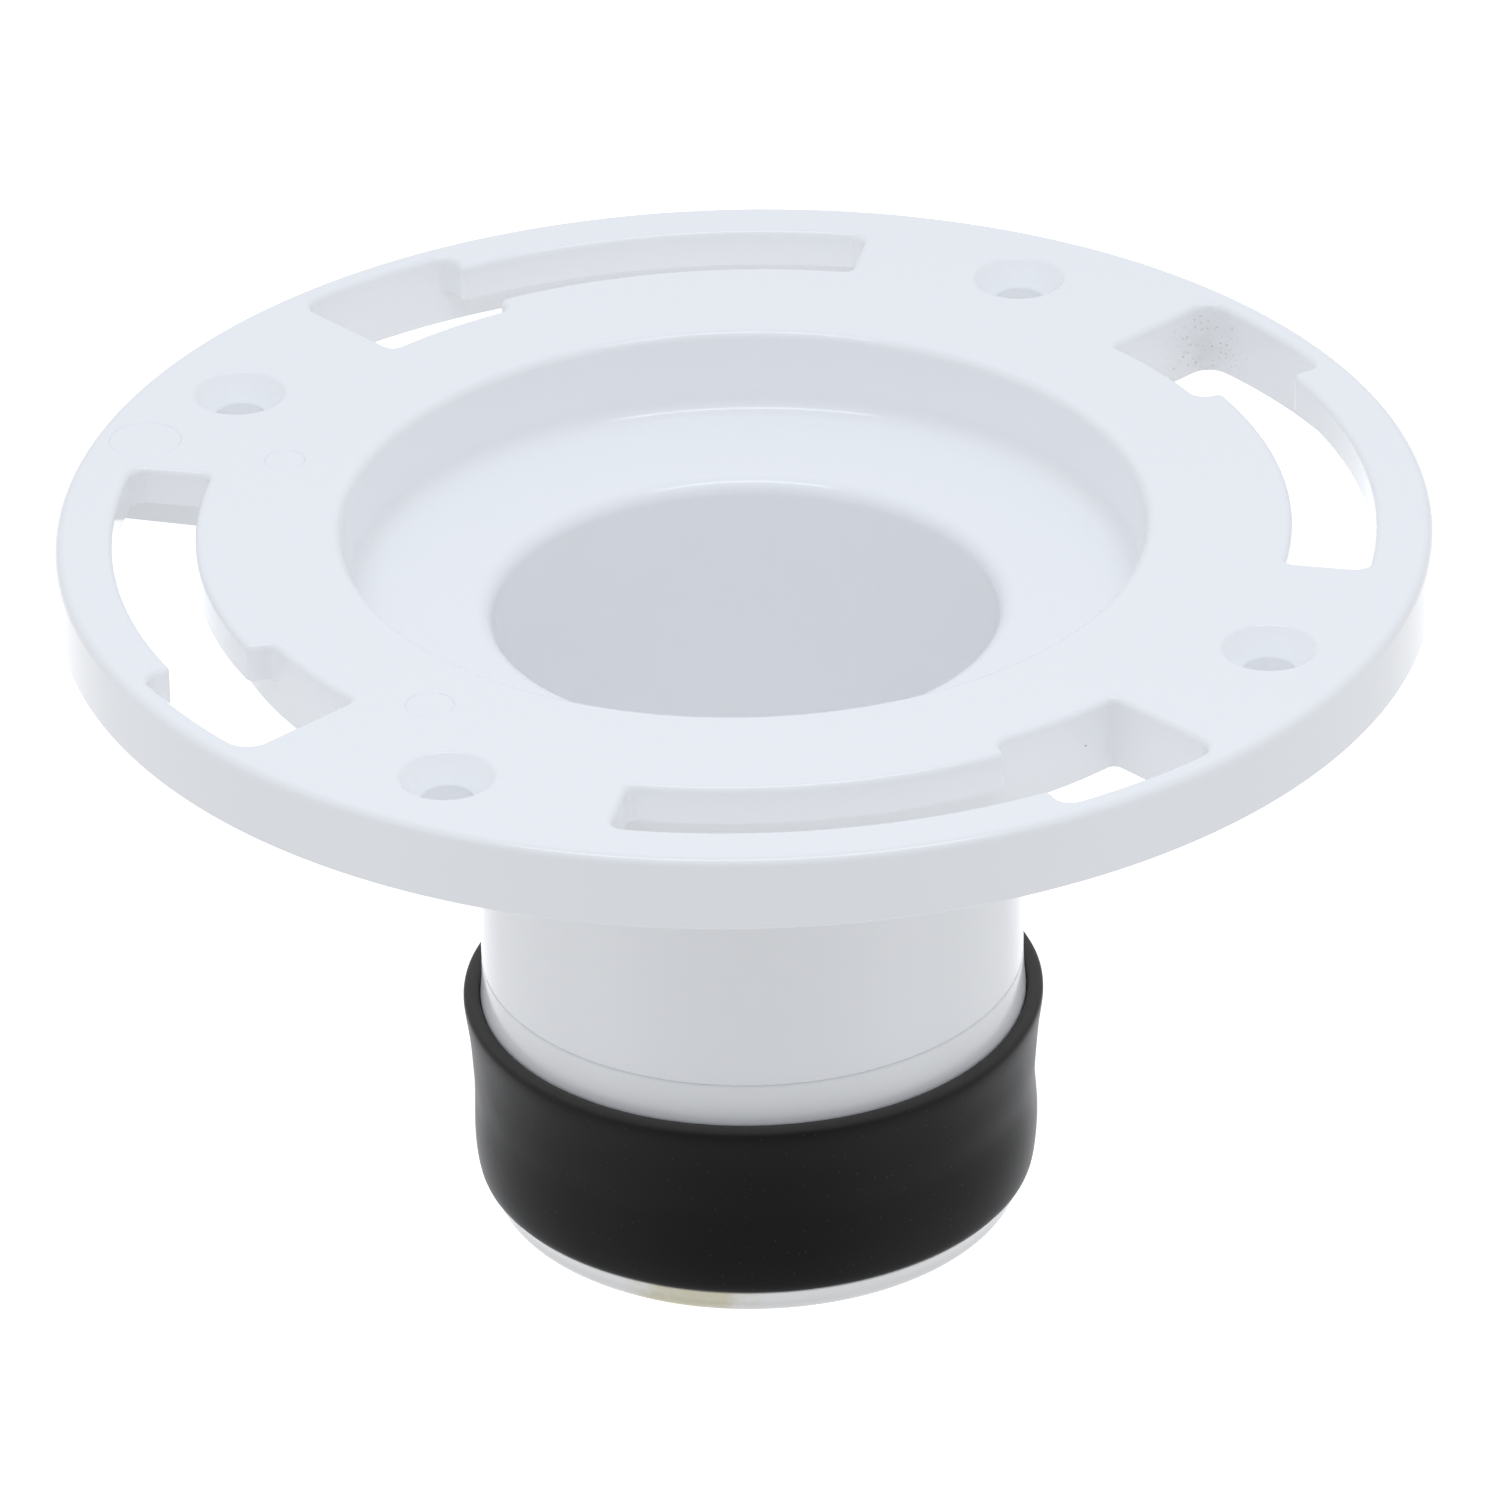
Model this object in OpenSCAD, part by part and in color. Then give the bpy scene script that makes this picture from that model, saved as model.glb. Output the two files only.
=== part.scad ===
// Twist-to-set replacement closet flange that seals inside a drain pipe.
// The origin is the centre of the flange's underside, where it meets the floor; +Z is up.
// Units are millimetres.

/* [Flange plate] */
// Outside diameter of the flange plate
flange_d = 177.8; // [174:0.2:184]
// Thickness of the flange plate
plate_h = 10; // [9:0.5:12]
// Radius of the rounded top edge of the plate
rim_round = 1.4; // [0.6:0.1:2]

/* [Wax ring bowl] */
// Radius of the bowl's side wall at the top
bowl_r = 52; // [50:0.5:53]
// Radius of the rounding on the bowl's upper edge
bowl_round = 1.4; // [0.8:0.1:2]
// Depth of the bowl below the top face, at its side wall
bowl_depth = 11.45; // [10:0.05:12]
// Fall of the bowl floor towards the drain
floor_fall = 0.75; // [0.3:0.05:1.2]

/* [Closet bolt slots] */
// Inside radius of the narrow part of a slot
slot_in_r = 70.8; // [70:0.1:71.5]
// Outside radius of the narrow part of a slot
slot_out_r = 81.5; // [81:0.1:82.5]
// Inside radius of the wide bolt-head opening and of the channel under the lips
head_in_r = 67.5; // [67:0.1:68]
// Outside radius of the wide bolt-head opening and of the channel under the lips
head_out_r = 85.7; // [85:0.1:85.9]
// Thickness of the lips that hold the bolt head down
lip_h = 5.2; // [4:0.1:6]
// Angle at which the narrow slot ends
slot_start = -12.3; // [-13:0.1:-10]
// Angle at which the narrow slot meets the wide opening
slot_step = 27; // [25:0.5:29]
// Angle at which the wide opening ends
slot_end = 43; // [41:0.5:44]

/* [Floor screws] */
// Diameter of the circle that the floor screws stand on
screw_pcd = 152; // [151:0.2:153]
// Diameter of a floor screw hole
screw_d = 6.4; // [5:0.1:7]
// Diameter of the countersink at the top face
sink_d = 12.4; // [10:0.2:13]
// Angle of the first screw hole
screw_angle = 60.4; // [59.5:0.1:61]

/* [Drain tube] */
// Inside radius of the drain bore
bore_r = 32.9; // [32:0.1:33]
// Outside radius of the drain tube
tube_r = 35.7; // [35.5:0.1:36]
// Depth of the tube's shoulder below the floor line
shoulder_z = 54.4; // [50:0.2:56]
// Radius of the rounded lip where the bowl falls into the bore
drain_lip = 2.4; // [2:0.1:3]

/* [Twist mechanism] */
// Rise of the collar for one turn of the flange
thread_pitch = 4; // [3.8:0.1:4.2]
// Radius of the spigot between its thread ridges
spigot_core_r = 32.1; // [31.9:0.05:32.2]
// Radius of the passage through the spigot
spigot_bore_r = 29.4; // [28:0.2:29.8]
// Outside radius of the plain spigot that the slip ring turns on
journal_r = 34.3; // [34.2:0.02:34.4]
// Radial running clearance of the slip ring
running_gap = 0.05; // [0.02:0.01:0.1]

/* [Rubber sleeve] */
// Outside radius of the sleeve's top rim
rim_r = 38.35; // [38:0.05:38.6]
// Outside radius of the sleeve's straight middle
sleeve_r = 37.25; // [37:0.05:37.5]
// Height of the sleeve
sleeve_h = 25.6; // [25.4:0.1:26]

/* [Compression collar] */
// Outside radius of the collar directly under the sleeve
collar_r = 36.2; // [36:0.05:36.4]
// Height of the part of the collar that shows under the sleeve
tail_h = 3.9; // [3.6:0.1:4.4]

/* [Hidden] */
$fn = 96;
flange_r = flange_d / 2;
// a cut runs this far past the face that it opens
past = 1;
slot_count = 4;
quarter = 360 / slot_count;

// plate and bowl
rim_base_round = 0.5;
skin_h = plate_h - lip_h;
bowl_floor_z = plate_h - bowl_depth;
bowl_draft = 0.7;
bowl_fillet = 2.5;
bowl_shell = 3.2;
bowl_base_z = -5.5;
bowl_base_round = 2;
drain_lip_z = bowl_floor_z - floor_fall;
tube_root_round = 3;
seam_chamfer = 0.25;

// slot corners
wide_corner = 3;
tight_corner = 1;
narrow_corner = 2;
step_root = 2;
// the channel under the lips runs this far past the narrow end
channel_extra = 3.3;
channel_turn = asin(channel_extra / slot_in_r);
// the narrow opening runs this many degrees into the wide one
slot_join = 4;
// a corner is drawn in this many steps, and runs this far past its arc wall
corner_steps = 6;
corner_cross = 0.3;
screw_boss_r = 8.5;
sink_cylinder_h = 0.6;
sink_cone_h = 3;

// moulded cells in the underside
cell_wall = 3.2;
cell_count = 16;
cell_rib = 2.6;
cell_top = 5;

// passage and spigot
draft_top_z = -40;
draft_end_z = -shoulder_z + 1.5;
journal_end_z = -shoulder_z - 9.8;
spigot_base_round = 0.8;

// slip ring
ring_h = 9.4;
ring_flare = 0.35;
ring_lower_edge = 0.8;
ring_r = tube_r + ring_flare;
ring_bore_r = journal_r + running_gap;
ring_base_z = -shoulder_z - ring_h;

// rubber sleeve
sleeve_top_z = -shoulder_z - 5.4;
sleeve_base_z = sleeve_top_z - sleeve_h;
sleeve_bore_r = 34.5;
rim_edge = 0.5;
rim_taper = 0.25;
rim_end_z = sleeve_top_z - 3.5;
neck_swell = 0.12;
neck_z = sleeve_top_z - 8;
straight_top_z = sleeve_top_z - 10;
straight_end_z = sleeve_base_z + 3.2;
sleeve_base_r = 36.85;
sleeve_base_edge = 0.6;

// collar
collar_top_z = sleeve_base_z + 9.4;
collar_base_z = sleeve_base_z - tail_h;
collar_sleeve_gap = 0.06;
collar_sleeve_r = sleeve_bore_r - collar_sleeve_gap;
collar_waist_r = 35.1;
collar_waist_h = 0.7;
collar_round = 1.5;
collar_thread_r = 33.4;
collar_guide_r = 32.6;
collar_guide_h = 1.4;

// threads
thread_steps = 36;
thread_base_half = 1.45;
thread_crest_half = 0.65;
thread_bury = 0.3;
outer_crest_r = 33.1;
inner_crest_r = 32.4;
spigot_end_z = sleeve_base_z + 2.4;
outer_thread_start_z = spigot_end_z + 3;
outer_thread_turns = 3.75;
// one and a half turns lower, so that each ridge runs midway between the other's turns
inner_thread_start_z = outer_thread_start_z - 1.5 * thread_pitch;
inner_thread_turns = 2;

pvc_white = [0.93, 0.94, 0.96];
ring_white = [0.9, 0.91, 0.93];
rubber_black = [0.06, 0.06, 0.06];
collar_white = [0.88, 0.88, 0.88];

// A block swept round the Z axis between two radii, two angles and two heights
module arc_block(r_in, r_out, a_from, a_to, z_from, z_to) {
    rotate([0, 0, a_from])
        rotate_extrude(angle = a_to - a_from)
            translate([r_in, z_from])
                square([r_out - r_in, z_to - z_from]);
}

function polar(r, a) = [r * cos(a), r * sin(a)];

// Outline of one rounded corner, from the opening's end wall to its arc wall.
// side is 1 at the outer arc and -1 at the inner one; end is 1 at the last angle and -1 at the first.
function corner_path(r_edge, side, a_edge, end, radius) =
    let (
        r_centre = r_edge - side * radius,
        a_centre = a_edge - end * asin(radius / r_centre),
        a_first = a_edge + quarter * end,
        a_last = side > 0 ? a_centre : a_centre + 2 * quarter * end)
    concat(
        [for (i = [0 : corner_steps - 1])
            polar(r_centre, a_centre) + polar(radius, a_first + (a_last - a_first) * i / corner_steps)],
        [polar(r_edge + side * corner_cross, a_centre)]);

function backwards(list) = [for (i = [len(list) - 1 : -1 : 0]) list[i]];

// A curved opening seen from above, with its four corners rounded.
// The corner radii are listed as first inside, first outside, last inside, last outside.
module curved_opening(r_in, r_out, a_from, a_to, corners) {
    intersection() {
        difference() {
            circle(r = r_out);
            circle(r = r_in);
        }
        polygon(concat(
            backwards(corner_path(r_in, -1, a_from, -1, corners[0])),
            corner_path(r_out, 1, a_from, -1, corners[1]),
            [polar(r_out + flange_r - slot_in_r, (a_from + a_to) / 2)],
            backwards(corner_path(r_out, 1, a_to, 1, corners[3])),
            corner_path(r_in, -1, a_to, 1, corners[2])));
    }
}

// One keyhole slot: narrow between the lips, wide where the bolt head goes in,
// with a channel for the head under the lips
module closet_bolt_slot() {
    translate([0, 0, skin_h])
        linear_extrude(height = lip_h + past)
            union() {
                curved_opening(slot_in_r, slot_out_r, slot_start, slot_step + slot_join,
                    [tight_corner, narrow_corner, tight_corner, tight_corner]);
                curved_opening(head_in_r, head_out_r, slot_step, slot_end,
                    [step_root, step_root, tight_corner, wide_corner]);
            }
    translate([0, 0, -past])
        linear_extrude(height = skin_h + past)
            curved_opening(head_in_r, head_out_r, slot_start - channel_turn, slot_end,
                [narrow_corner, narrow_corner, tight_corner, wide_corner]);
}

// One countersunk hole for a floor screw
module floor_screw_hole() {
    translate([screw_pcd / 2, 0, 0]) {
        translate([0, 0, -past])
            cylinder(d = screw_d, h = plate_h + 2 * past);
        translate([0, 0, plate_h - sink_cylinder_h - sink_cone_h])
            cylinder(d1 = screw_d, d2 = sink_d, h = sink_cone_h);
        translate([0, 0, plate_h - sink_cylinder_h])
            cylinder(d = sink_d, h = sink_cylinder_h + past);
    }
}

// The moulded cells in the underside that keep the walls even
module underside_cells() {
    ring_in_r = bowl_r + bowl_shell + cell_wall;
    ring_out_r = head_in_r - cell_wall;
    rib_turn = cell_rib / ring_in_r * 180 / PI;
    cell_turn = 360 / cell_count;
    for (i = [0 : cell_count - 1])
        arc_block(ring_in_r, ring_out_r, screw_angle + i * cell_turn + rib_turn / 2,
            screw_angle + (i + 1) * cell_turn - rib_turn / 2, -past, cell_top);
    wall_turn = cell_wall / head_in_r * 180 / PI;
    for (i = [0 : slot_count - 1])
        difference() {
            arc_block(head_in_r, head_out_r, i * quarter + slot_end + wall_turn,
                (i + 1) * quarter + slot_start - channel_turn - wall_turn, -past, cell_top);
            rotate([0, 0, screw_angle + i * quarter])
                translate([screw_pcd / 2, 0, -2 * past])
                    cylinder(r = screw_boss_r, h = plate_h);
            rotate([0, 0, screw_angle + i * quarter])
                translate([head_in_r - past, -cell_rib / 2, -2 * past])
                    cube([head_out_r - head_in_r + 2 * past, cell_rib, plate_h]);
        }
}

// Half section of the plate, bowl, tube and spigot
module flange_section() {
    shell_r = bowl_r + bowl_shell;
    difference() {
        union() {
            // plate with its rounded rim
            translate([bowl_r, 0])
                square([flange_r - rim_round - bowl_r, plate_h]);
            translate([bowl_r, rim_base_round])
                square([flange_r - bowl_r, plate_h - rim_round - rim_base_round]);
            translate([flange_r - rim_round, plate_h - rim_round])
                circle(r = rim_round);
            translate([flange_r - rim_base_round, rim_base_round])
                circle(r = rim_base_round);
            // shell under the bowl
            translate([tube_r - past, bowl_base_z])
                square([shell_r - bowl_base_round - tube_r + past, plate_h - bowl_base_z]);
            translate([tube_r, bowl_base_z + bowl_base_round])
                square([shell_r - tube_r, plate_h - bowl_base_z - bowl_base_round]);
            translate([shell_r - bowl_base_round, bowl_base_z + bowl_base_round])
                circle(r = bowl_base_round);
            // web that rounds the tube into the shell
            difference() {
                translate([tube_r - past, bowl_base_z - tube_root_round])
                    square([tube_root_round + past, tube_root_round + past]);
                translate([tube_r + tube_root_round, bowl_base_z - tube_root_round])
                    circle(r = tube_root_round);
            }
            // tube down to its shoulder, then a plain journal for the slip ring and the threaded core
            polygon([
                [spigot_bore_r, plate_h - bowl_round], [spigot_bore_r, spigot_end_z],
                [spigot_core_r - spigot_base_round, spigot_end_z],
                [spigot_core_r, spigot_end_z + spigot_base_round],
                [spigot_core_r, journal_end_z - past], [journal_r, journal_end_z],
                [journal_r, -shoulder_z], [tube_r - seam_chamfer, -shoulder_z],
                [tube_r, -shoulder_z + seam_chamfer], [tube_r, plate_h - bowl_round]]);
        }
        bowl_space();
        drain_space();
    }
}

// Half section of the space inside the bowl
module bowl_space() {
    wall_foot_r = bowl_r - bowl_draft;
    difference() {
        polygon([
            [0, plate_h + past], [bowl_r + bowl_round, plate_h + past],
            [bowl_r + bowl_round, plate_h - bowl_round], [bowl_r, plate_h - bowl_round],
            [wall_foot_r, bowl_floor_z + bowl_fillet], [wall_foot_r - bowl_fillet, bowl_floor_z],
            [bore_r + drain_lip, drain_lip_z], [0, drain_lip_z]]);
        translate([bowl_r + bowl_round, plate_h - bowl_round])
            circle(r = bowl_round);
    }
    translate([wall_foot_r - bowl_fillet, bowl_floor_z + bowl_fillet])
        circle(r = bowl_fillet);
}

// Half section of the waste passage, from the bowl to the end of the spigot
module drain_space() {
    lip_centre_z = drain_lip_z - drain_lip;
    difference() {
        translate([0, lip_centre_z])
            square([bore_r + drain_lip, drain_lip + past]);
        translate([bore_r + drain_lip, lip_centre_z])
            circle(r = drain_lip);
    }
    polygon([
        [0, drain_lip_z], [bore_r, lip_centre_z], [bore_r, draft_top_z],
        [spigot_bore_r, draft_end_z], [spigot_bore_r, spigot_end_z - past],
        [0, spigot_end_z - past]]);
}

// A ridge of constant section that climbs anticlockwise seen from above
module thread_ridge(r_base, r_crest, z_start, turns) {
    last = thread_steps * turns;
    section = [
        [r_base, -thread_base_half], [r_crest, -thread_crest_half],
        [r_crest, thread_crest_half], [r_base, thread_base_half]];
    corners = len(section);
    points = [for (i = [0 : last], c = section)
        let (turn = i * 360 / thread_steps)
        [c[0] * cos(turn), c[0] * sin(turn), z_start + c[1] + thread_pitch * i / thread_steps]];
    inward = r_crest < r_base;
    sides = [for (i = [0 : last - 1], j = [0 : corners - 1])
        let (a = i * corners + j, b = i * corners + (j + 1) % corners)
        each [[a, b, b + corners], [a, b + corners, a + corners]]];
    caps = [
        [3, 2, 1], [3, 1, 0],
        [last * corners, last * corners + 1, last * corners + 2],
        [last * corners, last * corners + 2, last * corners + 3]];
    all_faces = concat(sides, caps);
    polyhedron(
        points = points,
        faces = inward ? [for (f = all_faces) [f[2], f[1], f[0]]] : all_faces);
}

// Flange plate, bowl, drain tube and threaded spigot, moulded in one piece
module flange() {
    color(pvc_white) {
        difference() {
            rotate_extrude()
                flange_section();
            for (i = [0 : slot_count - 1]) {
                rotate([0, 0, i * quarter])
                    closet_bolt_slot();
                rotate([0, 0, screw_angle + i * quarter])
                    floor_screw_hole();
            }
            underside_cells();
        }
        thread_ridge(spigot_core_r - thread_bury, outer_crest_r,
            outer_thread_start_z, outer_thread_turns);
    }
}

// Ring that lets the flange turn on the rubber without dragging it round
module slip_ring() {
    color(ring_white)
        rotate_extrude()
            polygon([
                [ring_bore_r, -shoulder_z], [tube_r - seam_chamfer, -shoulder_z],
                [tube_r, -shoulder_z - seam_chamfer], [ring_r, sleeve_top_z - past],
                [ring_r, ring_base_z + ring_lower_edge],
                [ring_r - ring_lower_edge, ring_base_z], [ring_bore_r, ring_base_z]]);
}

// Rubber sleeve that swells against the pipe when it is squeezed
module rubber_sleeve() {
    color(rubber_black)
        rotate_extrude()
            polygon([
                [ring_r, sleeve_top_z], [rim_r - rim_edge, sleeve_top_z],
                [rim_r, sleeve_top_z - rim_edge], [rim_r - rim_taper, rim_end_z],
                [sleeve_r + neck_swell, neck_z], [sleeve_r, straight_top_z],
                [sleeve_r, straight_end_z], [sleeve_base_r, sleeve_base_z + sleeve_base_edge],
                [sleeve_base_r - sleeve_base_edge, sleeve_base_z],
                [sleeve_bore_r, sleeve_base_z], [sleeve_bore_r, ring_base_z],
                [ring_r - ring_lower_edge, ring_base_z], [ring_r, ring_base_z + ring_lower_edge]]);
}

// Half section of the collar, without its thread
module collar_section() {
    round_z = collar_base_z + collar_round;
    polygon([
        [collar_thread_r, collar_top_z], [collar_sleeve_r, collar_top_z],
        [collar_sleeve_r, sleeve_base_z], [collar_r, sleeve_base_z],
        [collar_waist_r, round_z + collar_waist_h], [collar_waist_r, round_z],
        [collar_waist_r - collar_round, collar_base_z], [collar_guide_r, collar_base_z],
        [collar_guide_r, collar_base_z + collar_guide_h],
        [collar_thread_r, collar_base_z + collar_guide_h]]);
    intersection() {
        translate([collar_waist_r - collar_round, round_z])
            circle(r = collar_round);
        translate([collar_waist_r - collar_round, collar_base_z])
            square([collar_round, collar_round]);
    }
}

// Threaded collar that is drawn up under the sleeve
module collar() {
    color(collar_white) {
        rotate_extrude()
            collar_section();
        thread_ridge(collar_thread_r + thread_bury, inner_crest_r,
            inner_thread_start_z, inner_thread_turns);
    }
}

flange();
slip_ring();
rubber_sleeve();
collar();
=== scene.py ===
import math

import bmesh
import bpy
from mathutils import Matrix, Vector, noise
from mathutils.geometry import tessellate_polygon


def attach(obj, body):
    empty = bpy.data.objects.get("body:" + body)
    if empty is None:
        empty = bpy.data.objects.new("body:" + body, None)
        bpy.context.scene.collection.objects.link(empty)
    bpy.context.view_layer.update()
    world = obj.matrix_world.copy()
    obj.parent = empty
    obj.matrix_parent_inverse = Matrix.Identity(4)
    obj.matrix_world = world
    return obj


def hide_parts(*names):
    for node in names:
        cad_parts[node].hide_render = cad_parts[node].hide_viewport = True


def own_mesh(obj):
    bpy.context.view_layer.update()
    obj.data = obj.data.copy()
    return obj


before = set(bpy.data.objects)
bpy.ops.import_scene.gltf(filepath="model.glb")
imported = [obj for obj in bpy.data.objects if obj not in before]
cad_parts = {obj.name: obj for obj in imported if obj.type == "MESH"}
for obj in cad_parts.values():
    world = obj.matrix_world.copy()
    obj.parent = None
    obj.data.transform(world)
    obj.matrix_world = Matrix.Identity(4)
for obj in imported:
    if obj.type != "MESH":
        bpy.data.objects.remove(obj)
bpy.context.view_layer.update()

MM = 0.001

# Sizes in millimetres, in the part's own frame: z = 0 is the underside of the plate.
# The plate, its bowl and the tube under it.
FLANGE_R = 88.9
PLATE_H = 10.0
RIM_ROUND = 1.4
RIM_BASE_ROUND = 0.5
SKIN_Z = 4.8
BOWL_R = 52.0
BOWL_ROUND = 1.4
BOWL_FOOT_ROUND = 2.5
BOWL_DRAFT = 0.7
BOWL_FLOOR_Z = -1.45
FLOOR_FALL = 0.75
SHELL_R = 55.2
SHELL_Z = -5.5
SHELL_ROUND = 2
NECK_ROUND = 3
BORE_R = 32.9
BORE_END_Z = -39
TUBE_R = 35.7
DRAIN_LIP = 2.4
SEAM_ROUND = 0.35
SHOULDER_Z = -54.4
JOURNAL_R = 34.3
JOURNAL_END_Z = -64.2
SPIGOT_BORE_R = 29.4
SPIGOT_CORE_R = 32.1
SPIGOT_BORE_Z = -53.4
SPIGOT_END_Z = -83.0

# The spigot's thread, and the thread in the collar that runs in it.
PITCH = 4.0
SPIGOT_THREAD_R, SPIGOT_TURNS = 33.1, 3.75
COLLAR_THREAD_R, COLLAR_TURNS = 32.4, 2.0
THREAD_ROOT_HALF, THREAD_CREST_HALF = 1.45, 0.65

# The closet bolt slots and floor screw holes; angles are in degrees, anticlockwise from +X.
SLOT_IN_R, SLOT_OUT_R = 70.8, 81.5
HEAD_IN_R, HEAD_OUT_R = 67.5, 85.7
SLOT_START, SLOT_STEP, SLOT_END = -12.3, 27.0, 43.0
# the channel for the bolt's head reaches this much further than the slot's narrow end
CHANNEL_EXTRA = 3.3
CHANNEL_START = SLOT_START - math.degrees(math.asin(CHANNEL_EXTRA / SLOT_IN_R))
SCREW_R, SCREW_ANGLE = 76.0, 60.4
SCREW_HOLE_R, SINK_R = 3.2, 6.2
HEAD_CORNER, WIDE_CORNER, SMALL_CORNER, STEP_CORNER = 2.0, 3.0, 1.2, 1.1
EDGE_ROUND = 1.0
EDGE_STEPS = 6
SINK_ROUND = 0.9
SINK_END_Z = 6.4

# The ejector pin marks: a fine groove round a disc that lies just under the top face.
GROOVE_DEPTH, DISC_DEPTH = 0.16, 0.03
GROOVE_OUT, GROOVE_IN = 0.14, 0.2

# The moulded cells in the underside.
CELL_COUNT = 16
CELL_WALL = 3.2
CELL_HALF_RIB = 1.3
CELL_DEPTH = 5.0
BOSS_R = 8.5

# The slip ring, sleeve and collar.
SLEEVE_TOP_Z = -59.8
SLEEVE_BASE_Z = -85.4
SLEEVE_IN_R = 34.5
RING_BASE_Z = -63.8
COLLAR_TOP_Z = -76.0
COLLAR_BASE_Z = -89.3
COLLAR_BORE_R = 33.4
COLLAR_SKIRT_R = 34.44
COLLAR_WAIST_R = 35.1
COLLAR_RIM_R = 36.2
COLLAR_MOUTH_R = 32.6
COLLAR_BASE_ROUND = 1.5
RING_FLARE = 0.35

# How finely the round pieces are divided.
FLANGE_STEPS = 288
TURNED_STEPS = 240
HOLE_STEPS = 48


# ---------------------------------------------------------------- mesh tools


def polar(r, a):
    return (r * math.cos(math.radians(a)), r * math.sin(math.radians(a)))


def turned(points, a):
    c, s = math.cos(math.radians(a)), math.sin(math.radians(a))
    return [(x * c - y * s, x * s + y * c) for x, y in points]


def circle(r, count, centre=(0, 0)):
    return [
        (centre[0] + p[0], centre[1] + p[1])
        for p in (polar(r, 360 * i / count) for i in range(count))
    ]


def arc(r, a_from, a_to, step=1.0):
    """Points along an arc, without its two ends."""
    count = max(2, round(abs(a_to - a_from) / step))
    return [polar(r, a_from + (a_to - a_from) * i / count) for i in range(1, count)]


def corner(r_edge, side, a_edge, end, radius, steps=7):
    """A rounded corner between a radial wall and an arc wall, from the radial wall to the arc.
    side is 1 if the corner's centre is nearer the axis than the arc;
    end is 1 if the centre comes before the wall."""
    r_centre = r_edge - side * radius
    a_centre = a_edge - end * math.degrees(math.asin(radius / r_centre))
    cx, cy = polar(r_centre, a_centre)
    first = a_edge + 90 * end
    last = a_centre if side > 0 else a_centre + 180 * end
    points = []
    for i in range(steps + 1):
        dx, dy = polar(radius, first + (last - first) * i / steps)
        points.append((cx + dx, cy + dy))
    return points, a_centre


def turn_outwards(bm):
    """Flips each closed shell whose faces point inwards."""
    left = set(bm.faces)
    for start in list(bm.faces):
        if start not in left:
            continue
        left.discard(start)
        shell = [start]
        for face in shell:
            for edge in face.edges:
                for other in edge.link_faces:
                    if other in left:
                        left.discard(other)
                        shell.append(other)
        volume = sum(f.calc_area() * f.normal.dot(f.calc_center_median()) for f in shell)
        if volume < 0:
            bmesh.ops.reverse_faces(bm, faces=shell)


class Build:
    """Collects loops, strips and flat faces of one mesh."""

    def __init__(self):
        self.verts = []
        self.faces = []
        self.sharp = set()

    def loop(self, points, z):
        first = len(self.verts)
        self.verts += [(x, y, z) for x, y in points]
        return list(range(first, len(self.verts)))

    def strip(self, a, b, closed=True):
        n = len(a)
        for i in range(n if closed else n - 1):
            j = (i + 1) % n
            self.faces.append((a[i], a[j], b[j], b[i]))

    def crease(self, a, closed=True):
        n = len(a)
        for i in range(n if closed else n - 1):
            self.sharp.add(tuple(sorted((a[i], a[(i + 1) % n]))))

    def fill(self, loops):
        """One flat face bounded by the first loop, with holes at the others."""
        flat = [i for loop in loops for i in loop]
        for tri in tessellate_polygon([[Vector(self.verts[i]) for i in loop] for loop in loops]):
            self.faces.append(tuple(flat[i] for i in tri))

    def lathe(self, profile, count, sharp_at=(), closed=False):
        """Turns (r, z) points round the axis and returns the loops."""
        loops = [self.loop(circle(r, count), z) for r, z in profile]
        pairs = list(zip(loops, loops[1:])) + ([(loops[-1], loops[0])] if closed else [])
        for a, b in pairs:
            self.strip(a, b)
        for i in sharp_at:
            self.crease(loops[i])
        return loops

    def finish(self, name, weighted=True):
        bm = bmesh.new()
        made = [bm.verts.new([c * MM for c in v]) for v in self.verts]
        for f in self.faces:
            if len(set(f)) == len(f):
                try:
                    bm.faces.new([made[i] for i in f])
                except ValueError:
                    pass
        bm.edges.ensure_lookup_table()
        for e in bm.edges:
            e.smooth = True
        lookup = {v: i for i, v in enumerate(made)}
        for e in bm.edges:
            key = tuple(sorted((lookup[e.verts[0]], lookup[e.verts[1]])))
            if key in self.sharp:
                e.smooth = False
        bmesh.ops.remove_doubles(bm, verts=bm.verts, dist=1e-7)
        bmesh.ops.recalc_face_normals(bm, faces=bm.faces)
        turn_outwards(bm)
        for f in bm.faces:
            f.smooth = True
        mesh = bpy.data.meshes.new(name)
        bm.to_mesh(mesh)
        bm.free()
        obj = bpy.data.objects.new(name, mesh)
        bpy.context.scene.collection.objects.link(obj)
        if weighted:
            m = obj.modifiers.new("even_shading", "WEIGHTED_NORMAL")
            m.mode = "FACE_AREA"
            m.weight = 90
            m.keep_sharp = True
        return obj


def rounding(centre, radius, a_from, a_to, steps=6):
    """(r, z) points on a circular arc in the half section."""
    return [
        (
            centre[0] + radius * math.cos(math.radians(a_from + (a_to - a_from) * i / steps)),
            centre[1] + radius * math.sin(math.radians(a_from + (a_to - a_from) * i / steps)),
        )
        for i in range(steps + 1)
    ]


def pushed(points, distance):
    """A closed anticlockwise outline grown outwards by distance."""
    n = len(points)
    grown = []
    for i, (x, y) in enumerate(points):
        (x0, y0), (x1, y1) = points[i - 1], points[(i + 1) % n]
        tx, ty = x1 - x0, y1 - y0
        size = math.hypot(tx, ty)
        grown.append((x + ty / size * distance, y - tx / size * distance))
    return grown


# ---------------------------------------------------------------- the flange moulding


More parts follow.
